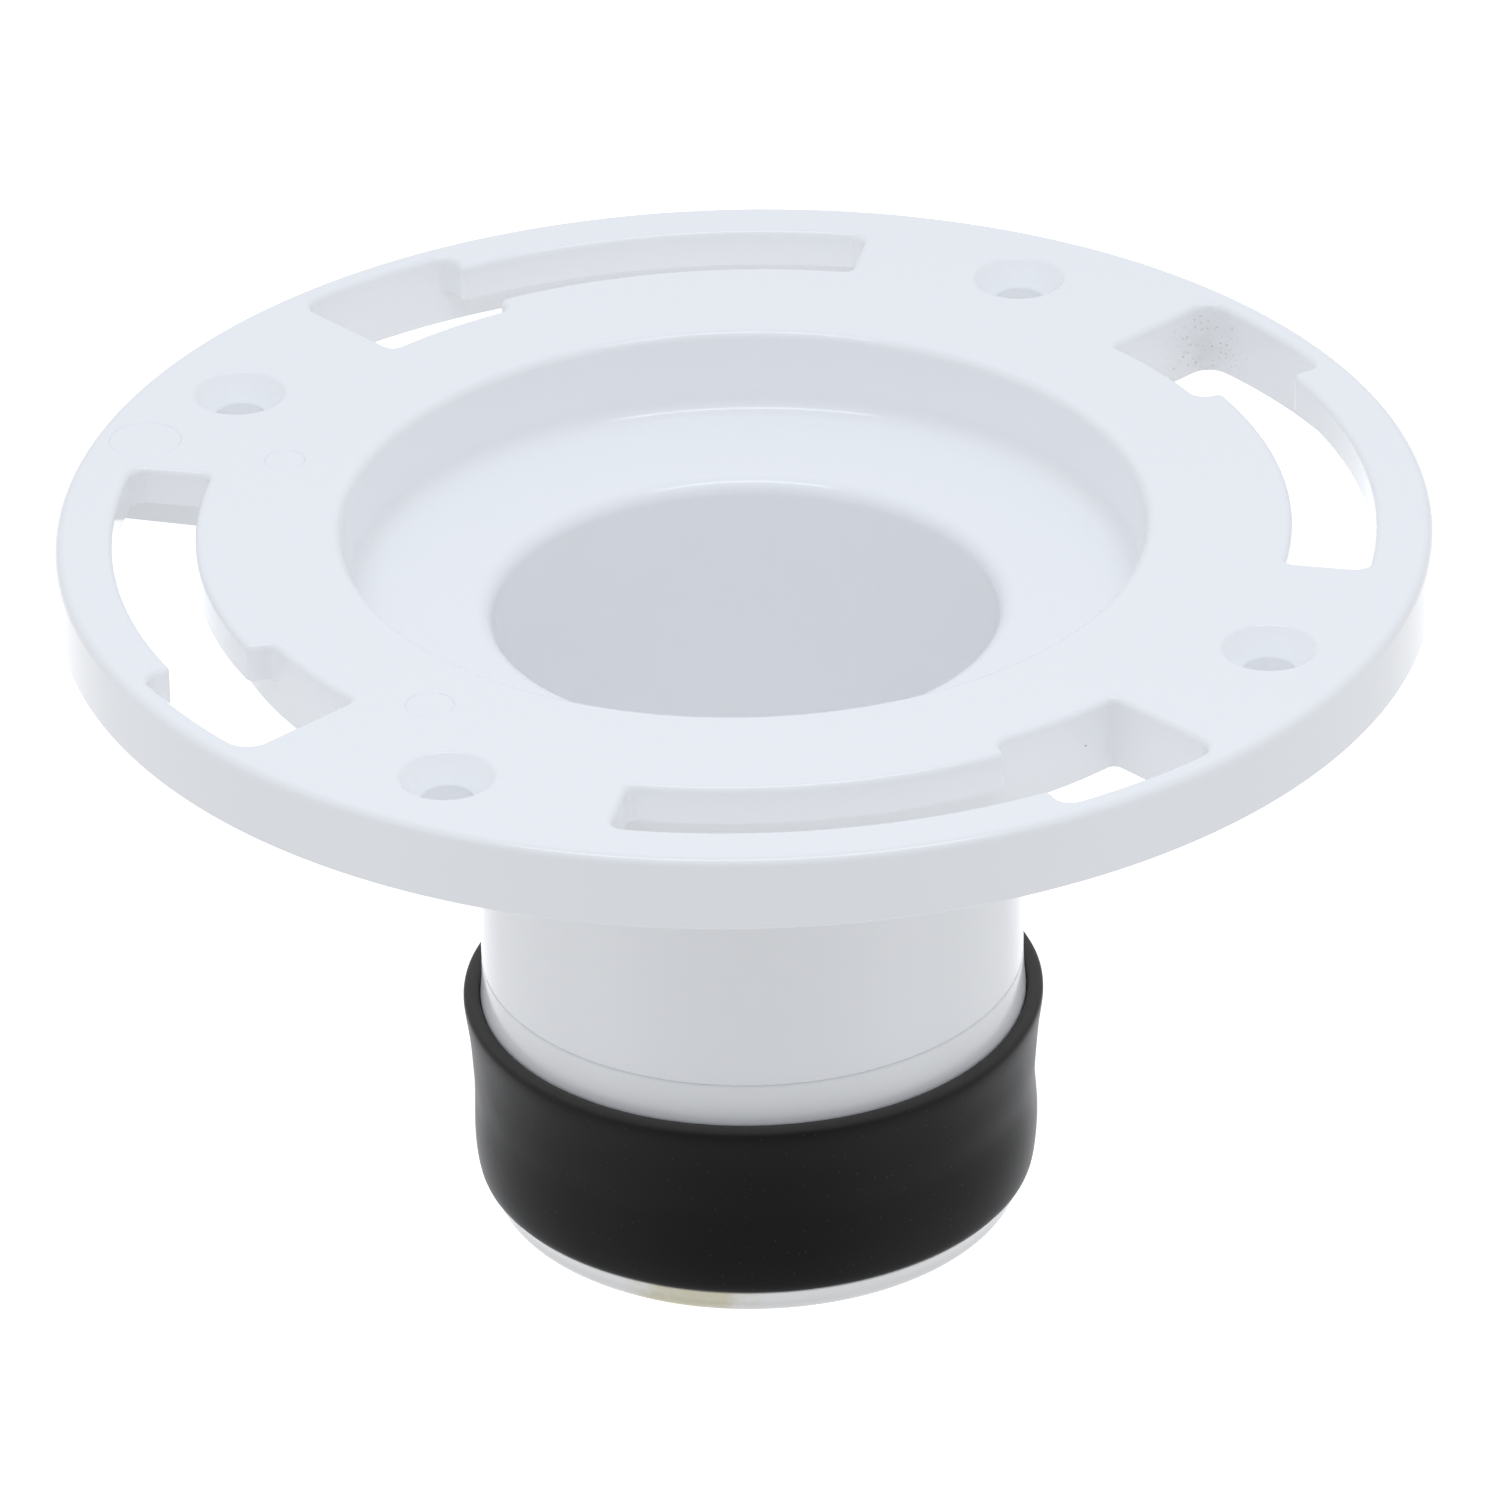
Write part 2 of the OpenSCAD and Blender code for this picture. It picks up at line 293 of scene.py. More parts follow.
def slot_outlines():
    """Outline of the opening between the lips and of the channel under them.
    Both run anticlockwise; their points along the wide opening are the same."""
    start_out, a1 = corner(SLOT_OUT_R, 1, SLOT_START, -1, HEAD_CORNER)
    step_out, a2 = corner(SLOT_OUT_R, -1, SLOT_STEP, 1, STEP_CORNER)
    root_out, a3 = corner(HEAD_OUT_R, 1, SLOT_STEP, -1, HEAD_CORNER)
    end_out, a4 = corner(HEAD_OUT_R, 1, SLOT_END, 1, WIDE_CORNER, 10)
    end_in, a5 = corner(HEAD_IN_R, -1, SLOT_END, 1, SMALL_CORNER)
    root_in, a6 = corner(HEAD_IN_R, -1, SLOT_STEP, -1, HEAD_CORNER)
    step_in, a7 = corner(SLOT_IN_R, 1, SLOT_STEP, 1, STEP_CORNER)
    start_in, a8 = corner(SLOT_IN_R, -1, SLOT_START, -1, SMALL_CORNER)
    # the wide opening, from the end of the outer root to the start of the inner one
    wide = (
        [root_out[-1]]
        + arc(HEAD_OUT_R, a3, a4)
        + end_out[::-1]
        + end_in
        + arc(HEAD_IN_R, a5, a6)
        + [root_in[-1]]
    )
    narrow = (
        root_in[::-1][1:]
        + step_in
        + arc(SLOT_IN_R, a7, a8)
        + start_in[::-1]
        + start_out
        + arc(SLOT_OUT_R, a1, a2)
        + step_out[::-1]
        + root_out[:-1]
    )
    chan_out, b1 = corner(HEAD_OUT_R, 1, CHANNEL_START, -1, HEAD_CORNER)
    chan_in, b2 = corner(HEAD_IN_R, -1, CHANNEL_START, -1, HEAD_CORNER)
    channel = arc(HEAD_IN_R, a6, b2) + chan_in[::-1] + chan_out + arc(HEAD_OUT_R, b1, a3)
    return wide, narrow, channel


def cell_outlines():
    """The moulded cells in the underside: a ring of them round the bowl and two beside each screw."""
    cells = []
    r_in, r_out = SHELL_R + CELL_WALL, HEAD_IN_R - CELL_WALL
    half_rib = math.degrees(CELL_HALF_RIB / r_in)
    for i in range(CELL_COUNT):
        a0 = SCREW_ANGLE + i * 360 / CELL_COUNT + half_rib
        a1 = SCREW_ANGLE + (i + 1) * 360 / CELL_COUNT - half_rib
        cells.append(
            [polar(r_out, a0)]
            + arc(r_out, a0, a1, 2.5)
            + [polar(r_out, a1), polar(r_in, a1)]
            + arc(r_in, a1, a0, 2.5)
            + [polar(r_in, a0)]
        )
    wall = math.degrees(CELL_WALL / HEAD_IN_R)
    near_out = math.degrees(math.asin(CELL_HALF_RIB / HEAD_OUT_R))
    near_in = math.degrees(math.asin(CELL_HALF_RIB / HEAD_IN_R))
    reach = math.degrees(math.asin(CELL_HALF_RIB / BOSS_R))
    for i in range(4):
        for side in (1, -1):
            if side > 0:
                far = 90 + CHANNEL_START - wall - SCREW_ANGLE
            else:
                far = SCREW_ANGLE - SLOT_END - wall
            points = [polar(HEAD_OUT_R, near_out)]
            points += arc(HEAD_OUT_R, near_out, far, 2.5)
            points += [polar(HEAD_OUT_R, far), polar(HEAD_IN_R, far)]
            points += arc(HEAD_IN_R, far, near_in, 2.5)
            points += [polar(HEAD_IN_R, near_in)]
            points += [
                (SCREW_R + p[0], p[1])
                for p in (
                    polar(BOSS_R, 180 - reach - (180 - 2 * reach) * k / 14) for k in range(1, 15)
                )
            ]
            if side < 0:
                points = [(x, -y) for x, y in points][::-1]
            cells.append(turned(points, SCREW_ANGLE + 90 * i))
    return cells


def pin_marks():
    """Centre and radius of the round marks that the mould's ejector pins leave."""
    return [
        (polar(81.9, 162.4), 4.7),
        (polar(62.4, 162.9), 2.6),
        (polar(62.4, -129.7), 3.1),
    ]


def make_flange():
    b = Build()

    # rim, from the top face to the underside
    rim = (
        [(FLANGE_R - RIM_ROUND, PLATE_H)]
        + rounding((FLANGE_R - RIM_ROUND, PLATE_H - RIM_ROUND), RIM_ROUND, 90, 0, 8)[1:]
        + rounding((FLANGE_R - RIM_BASE_ROUND, RIM_BASE_ROUND), RIM_BASE_ROUND, 0, -90, 4)
    )
    rim_loops = b.lathe(rim, FLANGE_STEPS)

    # bowl, drain, spigot and tube, from the top face down the inside and up the outside
    foot_r = BOWL_R - BOWL_DRAFT
    foot_z = BOWL_FLOOR_Z + BOWL_FOOT_ROUND
    lip_z = BOWL_FLOOR_Z - FLOOR_FALL
    lip_r = BORE_R + DRAIN_LIP
    wall_lean = math.degrees(math.atan2(BOWL_DRAFT, PLATE_H - BOWL_ROUND - foot_z))
    fall_lean = math.degrees(math.atan2(FLOOR_FALL, foot_r - BOWL_FOOT_ROUND - lip_r))
    inside = rounding((BOWL_R + BOWL_ROUND, PLATE_H - BOWL_ROUND), BOWL_ROUND, 90, 180 - wall_lean, 8)
    inside += [(BOWL_R - BOWL_DRAFT / 2, (PLATE_H - BOWL_ROUND + foot_z) / 2)]
    foot = (foot_r - BOWL_FOOT_ROUND, foot_z)
    inside += rounding(foot, BOWL_FOOT_ROUND, -wall_lean, -90 + fall_lean, 10)
    inside += [((foot_r - BOWL_FOOT_ROUND + lip_r) / 2, (BOWL_FLOOR_Z + lip_z) / 2)]
    inside += rounding((lip_r, lip_z - DRAIN_LIP), DRAIN_LIP, 90 + fall_lean, 180, 10)
    inside += [(BORE_R, -12), (BORE_R, -26), (BORE_R, BORE_END_Z)]
    # the step down to the spigot's bore, softened at both ends
    inside += [(BORE_R - 0.15, BORE_END_Z - 1.4), (SPIGOT_BORE_R + 0.15, SPIGOT_BORE_Z + 0.8)]
    inside += [(SPIGOT_BORE_R, SPIGOT_BORE_Z), (SPIGOT_BORE_R, -70)]
    inside += rounding((SPIGOT_BORE_R + 0.4, SPIGOT_END_Z + 0.4), 0.4, 180, 270, 3)
    inside += rounding((SPIGOT_CORE_R - 0.8, SPIGOT_END_Z + 0.8), 0.8, 270, 360, 4)
    inside += [(SPIGOT_CORE_R, JOURNAL_END_Z - 1), (JOURNAL_R, JOURNAL_END_Z)]
    inside += [(JOURNAL_R, SHOULDER_Z), (TUBE_R - SEAM_ROUND, SHOULDER_Z)]
    inside += rounding((TUBE_R - SEAM_ROUND, SHOULDER_Z + SEAM_ROUND), SEAM_ROUND, 270, 360, 4)[1:]
    inside += [(TUBE_R, -40), (TUBE_R, -24)]
    inside += rounding((TUBE_R + NECK_ROUND, SHELL_Z - NECK_ROUND), NECK_ROUND, 180, 90, 6)
    inside += rounding((SHELL_R - SHELL_ROUND, SHELL_Z + SHELL_ROUND), SHELL_ROUND, -90, 0, 6)
    inside += [(SHELL_R, 0.0)]
    inside_loops = b.lathe(inside, FLANGE_STEPS)
    for loop, (r, z) in zip(inside_loops, inside):
        if (round(r, 2), round(z, 2)) in (
            (JOURNAL_R, JOURNAL_END_Z),
            (SPIGOT_CORE_R, JOURNAL_END_Z - 1),
            (JOURNAL_R, SHOULDER_Z),
        ):
            b.crease(loop)

    top_holes, base_holes = [], []

    # closet bolt slots
    wide, narrow, channel = slot_outlines()
    for k in range(4):
        upper = turned(wide + narrow, 90 * k)
        loops = []
        for i in range(EDGE_STEPS + 1):
            t = math.radians(90 * i / EDGE_STEPS)
            loops.append(
                b.loop(
                    pushed(upper, EDGE_ROUND * (1 - math.sin(t))),
                    PLATE_H - EDGE_ROUND * (1 - math.cos(t)),
                )
            )
        for lo, hi in zip(loops, loops[1:]):
            b.strip(lo, hi)
        top_holes.append(loops[0])
        under_lip = b.loop(upper, SKIN_Z)
        b.strip(loops[-1], under_lip)
        wide_low, narrow_low = under_lip[: len(wide)], under_lip[len(wide) :]
        chan_high = b.loop(turned(channel, 90 * k), SKIN_Z)
        b.fill([[wide_low[-1]] + chan_high + [wide_low[0]] + narrow_low[::-1]])
        b.crease(narrow_low, closed=False)
        head = wide_low + chan_high
        b.crease([wide_low[-1]] + chan_high + [wide_low[0]], closed=False)
        base = b.loop(turned(wide + channel, 90 * k), 0.0)
        b.strip(head, base)
        b.crease(base)
        base_holes.append(base)

    # countersunk floor screw holes
    for k in range(4):
        centre = polar(SCREW_R, SCREW_ANGLE + 90 * k)
        # the countersink's edge turns 48 degrees, down into the cone
        profile = rounding((SINK_R + 0.4, PLATE_H - SINK_ROUND), SINK_ROUND, 90, 138, 5)
        profile += [(SCREW_HOLE_R + 0.3, SINK_END_Z + 0.35), (SCREW_HOLE_R, SINK_END_Z)]
        profile += [(SCREW_HOLE_R, 0.0)]
        loops = [b.loop(circle(r, HOLE_STEPS, centre), z) for r, z in profile]
        for lo, hi in zip(loops, loops[1:]):
            b.strip(lo, hi)
        b.crease(loops[-1])
        top_holes.append(loops[0])
        base_holes.append(loops[-1])

    # ejector pin marks
    for centre, r in pin_marks():
        outer = b.loop(circle(r + GROOVE_OUT, HOLE_STEPS, centre), PLATE_H)
        inner = b.loop(circle(r, HOLE_STEPS, centre), PLATE_H - GROOVE_DEPTH)
        lip = b.loop(circle(r - GROOVE_IN, HOLE_STEPS, centre), PLATE_H - DISC_DEPTH)
        b.strip(outer, inner)
        b.strip(inner, lip)
        b.fill([lip])
        b.crease(outer)
        b.crease(lip)
        top_holes.append(outer)

    # moulded cells in the underside
    for outline in cell_outlines():
        low = b.loop(outline, 0.0)
        high = b.loop(outline, CELL_DEPTH)
        b.strip(low, high)
        b.fill([high])
        b.crease(low)
        b.crease(high)
        base_holes.append(low)

    b.fill([rim_loops[0], inside_loops[0]] + top_holes)
    b.fill([rim_loops[-1], inside_loops[-1]] + base_holes)
    b.crease(inside_loops[-1])
    return b


def thread(b, r_base, r_crest, z_start, turns, steps=72):
    """A climbing ridge, as a closed shape that runs into the wall it stands on."""
    section = [(r_base, -THREAD_ROOT_HALF), (r_crest, -THREAD_CREST_HALF)]
    section += [(r_crest, THREAD_CREST_HALF), (r_base, THREAD_ROOT_HALF)]
    last = int(steps * turns)
    rows = []
    for i in range(last + 1):
        a = 360 * i / steps
        # the ridge fades into the wall over its first and last eighth of a turn
        fade = min(1.0, i / (steps / 8), (last - i) / (steps / 8))
        fade = fade * fade * (3 - 2 * fade)
        first = len(b.verts)
        for r, z in section:
            rr = r_base + (r - r_base) * fade
            x, y = polar(rr, a)
            b.verts.append((x, y, z_start + z + PITCH * i / steps))
        rows.append(list(range(first, first + 4)))
    for p, q in zip(rows, rows[1:]):
        for j in range(4):
            k = (j + 1) % 4
            b.faces.append((p[j], p[k], q[k], q[j]))
            b.sharp.add(tuple(sorted((p[j], q[j]))))
    b.faces.append(tuple(rows[0]))
    b.faces.append(tuple(rows[-1]))


print("scene: building")
flange = make_flange().finish("flange_moulding")
spigot = Build()
thread(spigot, SPIGOT_CORE_R - 0.3, SPIGOT_THREAD_R, SPIGOT_END_Z + 3, SPIGOT_TURNS)
spigot_thread = spigot.finish("spigot_thread")
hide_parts("flange")
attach(flange, "plate")
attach(spigot_thread, "plate")

# ---------------------------------------------------------------- slip ring, sleeve and collar


def make_slip_ring():
    b = Build()
    flare = TUBE_R + RING_FLARE
    bore = JOURNAL_R + 0.05
    profile = [(bore, SHOULDER_Z - 0.01), (TUBE_R - SEAM_ROUND, SHOULDER_Z - 0.01)]
    profile += rounding((TUBE_R - SEAM_ROUND, SHOULDER_Z - SEAM_ROUND), SEAM_ROUND, 90, 0, 4)[1:]
    profile += [(TUBE_R + 0.02, -56.2), (TUBE_R + 0.12, -58.2), (TUBE_R + 0.25, -59.6), (flare, -60.9)]
    profile += [(flare, -63.0), (flare - 0.8, RING_BASE_Z), (bore, RING_BASE_Z)]
    b.lathe(profile, TURNED_STEPS, sharp_at=(0, 1, 9, 10, 11, 12), closed=True)
    return b.finish("slip_ring_moulding")


def make_sleeve():
    """The rubber sleeve. Its outside bellies and pinches a little, as moulded rubber does."""
    b = Build()
    lip = TUBE_R + RING_FLARE + 0.02
    # radius, height, and how much of the rubber's unevenness shows there
    outline = [
        (lip, -61.0, 0.0),
        (lip, -60.35, 0.2),
        (lip + 0.12, -60.0, 0.4),
        (lip + 0.4, SLEEVE_TOP_Z, 0.5),
        (37.2, SLEEVE_TOP_Z, 0.6),
        (37.8, SLEEVE_TOP_Z - 0.02, 0.7),
        (38.12, -59.95, 0.8),
        (38.3, -60.25, 0.9),
        (38.32, -60.8, 1.0),
        (38.24, -61.6, 1.0),
        (38.1, -62.6, 1.0),
        (37.94, -63.6, 1.0),
        (37.79, -64.7, 1.0),
        (37.63, -66.0, 1.0),
        (37.5, -67.4, 1.0),
        (37.38, -69.0, 1.0),
        (37.26, -71.0, 1.0),
        (37.14, -72.8, 1.0),
        (37.1, -74.4, 1.0),
        (37.14, -76.2, 1.0),
        (37.19, -78.0, 1.0),
        (37.2, -79.8, 1.0),
        (37.16, -81.4, 1.0),
        (37.08, -82.8, 0.9),
        (36.97, -83.8, 0.8),
        (36.84, -84.5, 0.7),
        (36.66, -85.0, 0.6),
        (36.42, -85.3, 0.4),
        (36.15, SLEEVE_BASE_Z, 0.3),
        (35.4, SLEEVE_BASE_Z, 0.2),
        (SLEEVE_IN_R, SLEEVE_BASE_Z, 0.0),
        (SLEEVE_IN_R, -75.0, 0.0),
        (SLEEVE_IN_R, RING_BASE_Z - 0.02, 0.0),
        (lip - 0.8, RING_BASE_Z - 0.02, 0.0),
        (lip, -63.0, 0.0),
    ]
    loops = []
    for r, z, play in outline:
        points = []
        for i in range(TURNED_STEPS):
            a = 360 * i / TURNED_STEPS
            dx, dy = polar(1.0, a)
            swell = noise.noise(Vector((dx * 1.1, dy * 1.1, z * 0.045))) * 0.16
            swell += noise.noise(Vector((dx * 4 + 7, dy * 4, z * 0.2))) * 0.05
            # the right-hand side bellies a little more than the left
            swell += 0.12 * max(0.0, dx) * math.exp(-(((z + 78.5) / 3.5) ** 2))
            swell -= 0.1 * max(0.0, dx) * math.exp(-(((z + 72.5) / 2.5) ** 2))
            points.append(polar(r + swell * play, a))
        loops.append(b.loop(points, z))
    for p, q in zip(loops, loops[1:] + loops[:1]):
        b.strip(p, q)
    for i in (30, 32, 33, 34):
        b.crease(loops[i])
    return b.finish("rubber_sleeve_moulding", weighted=False)


def make_collar():
    b = Build()
    top, base = COLLAR_TOP_Z, COLLAR_BASE_Z
    seat = SLEEVE_BASE_Z - 0.02
    foot = (COLLAR_WAIST_R - COLLAR_BASE_ROUND, base + COLLAR_BASE_ROUND)
    profile = [(COLLAR_BORE_R, top), (COLLAR_SKIRT_R - 0.14, top), (COLLAR_SKIRT_R, top - 0.15)]
    profile += [(COLLAR_SKIRT_R, seat), (COLLAR_RIM_R - 0.2, seat), (COLLAR_RIM_R, seat - 0.18)]
    profile += [(COLLAR_WAIST_R + 0.12, base + 2.25)]
    profile += rounding(foot, COLLAR_BASE_ROUND, 0, -90, 7)
    profile += [(COLLAR_MOUTH_R + 0.3, base), (COLLAR_MOUTH_R, base + 0.3), (COLLAR_MOUTH_R, base + 1.4)]
    profile += [(COLLAR_BORE_R, base + 1.4), (COLLAR_BORE_R, -82.0)]
    n = len(profile)
    b.lathe(profile, TURNED_STEPS, sharp_at=(0, 1, 2, 3, 4, n - 4, n - 3, n - 2), closed=True)
    thread(b, COLLAR_BORE_R + 0.3, COLLAR_THREAD_R, COLLAR_BASE_Z + 3.3, COLLAR_TURNS)
    return b.finish("collar_moulding")


slip_ring = make_slip_ring()
sleeve = make_sleeve()
collar = make_collar()
for obj, node, body, slot in (
    (slip_ring, "slip_ring", "seal", "pvc_white"),
    (sleeve, "rubber_sleeve", "seal", "rubber"),
    (collar, "collar", "collar", "pvc_white"),
):
    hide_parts(node)
    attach(obj, body)

# ---------------------------------------------------------------- materials


class Nodes:
    """Shorthand for building one node material."""

    def __init__(self, name):
        self.mat = bpy.data.materials.new(name)
        self.mat.use_nodes = True
        self.tree = self.mat.node_tree
        self.bsdf = self.tree.nodes["Principled BSDF"]

    def add(self, kind, **values):
        node = self.tree.nodes.new(kind)
        for key, value in values.items():
            setattr(node, key, value)
        return node

    def link(self, a, b):
        self.tree.links.new(a, b)

    def place(self):
        if not hasattr(self, "_place"):
            self._place = self.add("ShaderNodeTexCoord").outputs["Object"]
        return self._place

    def noise(self, scale, detail=2.0, rough=0.5, stretch=None):
        n = self.add("ShaderNodeTexNoise")
        n.inputs["Scale"].default_value = scale
        n.inputs["Detail"].default_value = detail
        n.inputs["Roughness"].default_value = rough
        source = self.place()
        if stretch:
            m = self.add("ShaderNodeMapping")
            m.inputs["Scale"].default_value = stretch
            self.link(source, m.inputs["Vector"])
            source = m.outputs["Vector"]
        self.link(source, n.inputs["Vector"])
        return n.outputs["Fac"]

    def spots(self, scale, size, left_out):
        """Small round specks, 1 inside and 0 outside, in all but the left-out share of the cells."""
        v = self.add("ShaderNodeTexVoronoi")
        v.inputs["Scale"].default_value = scale
        self.link(self.place(), v.inputs["Vector"])
        near = self.add("ShaderNodeMath", operation="LESS_THAN")
        near.inputs[1].default_value = size
        self.link(v.outputs["Distance"], near.inputs[0])
        sep = self.add("ShaderNodeSeparateColor")
        self.link(v.outputs["Color"], sep.inputs["Color"])
        pick = self.add("ShaderNodeMath", operation="GREATER_THAN")
        pick.inputs[1].default_value = left_out
        self.link(sep.outputs["Red"], pick.inputs[0])
        both = self.add("ShaderNodeMath", operation="MULTIPLY")
        self.link(near.outputs[0], both.inputs[0])
        self.link(pick.outputs[0], both.inputs[1])
        return both.outputs[0]

    def ramp(self, fac, stops):
        r = self.add("ShaderNodeValToRGB")
        el = r.color_ramp.elements
        while len(el) < len(stops):
            el.new(0.5)
        for e, (pos, col) in zip(el, stops):
            e.position = pos
            e.color = col
        self.link(fac, r.inputs["Fac"])
        return r.outputs["Color"]

    def mix(self, fac, a, b):
        m = self.add("ShaderNodeMix", data_type="RGBA")
        for value, socket in ((fac, m.inputs["Factor"]), (a, m.inputs[6]), (b, m.inputs[7])):
            if isinstance(value, (int, float, tuple)):
                socket.default_value = value
            else:
                self.link(value, socket)
        return m.outputs[2]

    def bump(self, height, distance, strength, onto=None):
        n = self.add("ShaderNodeBump")
        n.inputs["Distance"].default_value = distance
        n.inputs["Strength"].default_value = strength
        self.link(height, n.inputs["Height"])
        if onto is not None:
            self.link(onto, n.inputs["Normal"])
        return n.outputs["Normal"]


def patch(m, base, place, core, reach, pattern, colour):
    """Mixes a colour in where the pattern is 1, fading out between core and reach from the place."""
    where = m.add("ShaderNodeVectorMath", operation="DISTANCE")
    where.inputs[1].default_value = place
    m.link(m.place(), where.inputs[0])
    close = m.add("ShaderNodeMapRange")
    close.inputs["From Min"].default_value = core
    close.inputs["From Max"].default_value = reach
    close.inputs["To Min"].default_value = 1.0
    close.inputs["To Max"].default_value = 0.0
    m.link(where.outputs["Value"], close.inputs["Value"])
    both = m.add("ShaderNodeMath", operation="MULTIPLY")
    m.link(pattern, both.inputs[0])
    m.link(close.outputs["Result"], both.inputs[1])
    return m.mix(both.outputs[0], base, colour)


def pvc(name, tint, grimy=False, stained=False):
    m = Nodes(name)
    dust = m.spots(260, 0.05, 0.985)
    base = m.mix(dust, (*tint, 1), (0.36, 0.34, 0.31, 1))
    if grimy:
        # dirt caught in the far corner of the slot at +X
        corner_place = (0.0615, 0.0565, 0.003)
        film = m.ramp(m.noise(300, 3, 0.6), [(0.3, (0, 0, 0, 1)), (0.7, (0.3, 0.3, 0.3, 1))])
        base = patch(m, base, corner_place, 0.001, 0.007, film, (0.62, 0.59, 0.57, 1))
        specks = m.ramp(m.noise(1900, 3, 0.6), [(0.6, (0, 0, 0, 1)), (0.7, (0.75, 0.75, 0.75, 1))])
        base = patch(m, base, corner_place, 0.003, 0.008, specks, (0.4, 0.36, 0.32, 1))
    if stained:
        spread = m.ramp(m.noise(160, 4, 0.6), [(0.3, (0, 0, 0, 1)), (0.5, (0.9, 0.9, 0.9, 1))])
        base = patch(m, base, (-0.009, -0.0345, -0.0872), 0.006, 0.01, spread, (0.69, 0.65, 0.46, 1))
    m.link(base, m.bsdf.inputs["Base Color"])
    m.bsdf.inputs["IOR"].default_value = 1.53
    smear = m.noise(38, 3, 0.55)
    rough = m.add("ShaderNodeMapRange")
    rough.inputs["To Min"].default_value = 0.13
    rough.inputs["To Max"].default_value = 0.2
    m.link(smear, rough.inputs["Value"])
    m.link(rough.outputs["Result"], m.bsdf.inputs["Roughness"])
    waves = m.bump(m.noise(26, 1), 0.00012, 0.35)
    m.link(waves, m.bsdf.inputs["Normal"])
    return m.mat


def rubber():
    m = Nodes("black_rubber")
    bloom = m.noise(45, 4, 0.6)
    base = m.mix(bloom, (0.004, 0.004, 0.0042, 1), (0.007, 0.007, 0.0071, 1))
    dust = m.spots(1300, 0.13, 0.8)
    base = m.mix(dust, base, (0.035, 0.035, 0.035, 1))
    # painted light: the faces that look up are mixed toward a lighter grey, as if lit from above
    split = m.add("ShaderNodeSeparateXYZ")
    m.link(m.add("ShaderNodeTexCoord").outputs["Normal"], split.inputs["Vector"])
    top_light_mask = m.add("ShaderNodeMath", operation="MULTIPLY", use_clamp=True)
    top_light_mask.inputs[1].default_value = 0.9
    m.link(split.outputs["Z"], top_light_mask.inputs[0])
    base = m.mix(top_light_mask.outputs[0], base, (0.05, 0.047, 0.045, 1))
    m.link(base, m.bsdf.inputs["Base Color"])
    m.bsdf.inputs["IOR"].default_value = 1.5
    m.bsdf.inputs["Specular IOR Level"].default_value = 0.15
    rough = m.add("ShaderNodeMapRange")
    rough.inputs["To Min"].default_value = 0.3
    rough.inputs["To Max"].default_value = 0.42
    m.link(m.noise(90, 4, 0.6), rough.inputs["Value"])
    m.link(rough.outputs["Result"], m.bsdf.inputs["Roughness"])
    swirl = m.bump(m.noise(120, 3, 0.6, (1, 1, 0.6)), 0.00006, 0.4)
    grain = m.bump(m.noise(2600, 2), 0.00002, 0.5, onto=swirl)
    m.link(grain, m.bsdf.inputs["Normal"])
    return m.mat


WHITE = (0.945, 0.957, 0.972)
white = pvc("white_pvc", WHITE, grimy=True)
ring_white = pvc("white_pvc_ring", (0.925, 0.935, 0.945))
collar_white = pvc("white_pvc_collar", (0.87, 0.87, 0.865), stained=True)
black = rubber()
for obj, mat in (
    (flange, white),
    (spigot_thread, white),
    (slip_ring, ring_white),
    (sleeve, black),
    (collar, collar_white),
):
    obj.data.materials.append(mat)

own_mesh(sleeve)

# ---------------------------------------------------------------- floor, light and camera


def floor_material():
    m = Nodes("pale_floor")
    m.bsdf.inputs["Base Color"].default_value = (0.8, 0.8, 0.8, 1)
    m.bsdf.inputs["Roughness"].default_value = 1.0
    m.bsdf.inputs["Specular IOR Level"].default_value = 0.0
    m.bsdf.inputs["Emission Color"].default_value = (1, 1, 1, 1)
    m.bsdf.inputs["Emission Strength"].default_value = 0.68
    # only its upper side shows, so the object can be looked at from below
    side = m.add("ShaderNodeNewGeometry").outputs["Backfacing"]
    blend = m.add("ShaderNodeMixShader")
    m.link(side, blend.inputs["Fac"])
    m.link(m.bsdf.outputs["BSDF"], blend.inputs[1])
    m.link(m.add("ShaderNodeBsdfTransparent").outputs["BSDF"], blend.inputs[2])
    m.link(blend.outputs["Shader"], m.tree.nodes["Material Output"].inputs["Surface"])
    return m.mat


ground_z = COLLAR_BASE_Z * MM - 0.0002
FLOOR_REACH = 6.0
corners = [(-1, -1), (1, -1), (1, 1), (-1, 1)]
mesh = bpy.data.meshes.new("floor")
mesh.from_pydata([(x * FLOOR_REACH, y * FLOOR_REACH, ground_z) for x, y in corners], [], [(0, 1, 2, 3)])
floor = bpy.data.objects.new("floor", mesh)
floor.data.materials.append(floor_material())
# the floor shows white behind the object, and the studio around it lights the object from below
floor.visible_diffuse = False
floor.visible_glossy = False
bpy.context.scene.collection.objects.link(floor)


def lamp(name, place, aim, width, height, power, colour):
    data = bpy.data.lights.new(name, "AREA")
    data.shape = "RECTANGLE"
    data.size, data.size_y = width, height
    data.energy = power
    data.color = colour
    obj = bpy.data.objects.new(name, data)
    obj.location = place
    obj.rotation_mode = "QUATERNION"
    obj.rotation_quaternion = (Vector(aim) - Vector(place)).to_track_quat("-Z", "Y")
    bpy.context.scene.collection.objects.link(obj)
    return obj


lights = [
    lamp("top_box", (0.0, -0.42, 1.05), (0, 0, 0), 1.1, 0.18, 2.6, (0.95, 0.98, 1.0)),
]


# brightness of the studio at the horizon and below it, from the front (0) round to the back (1)
HORIZON = ((0.0, 0.26), (0.07, 0.37), (0.2, 0.59), (0.5, 0.73), (1.0, 0.7))
BELOW = ((0.0, 0.62), (0.1, 0.74), (0.3, 1.1), (0.5, 0.84), (0.8, 0.95), (1.0, 1.7))
OVERHEAD = (0.725, 0.765, 0.84, 1)


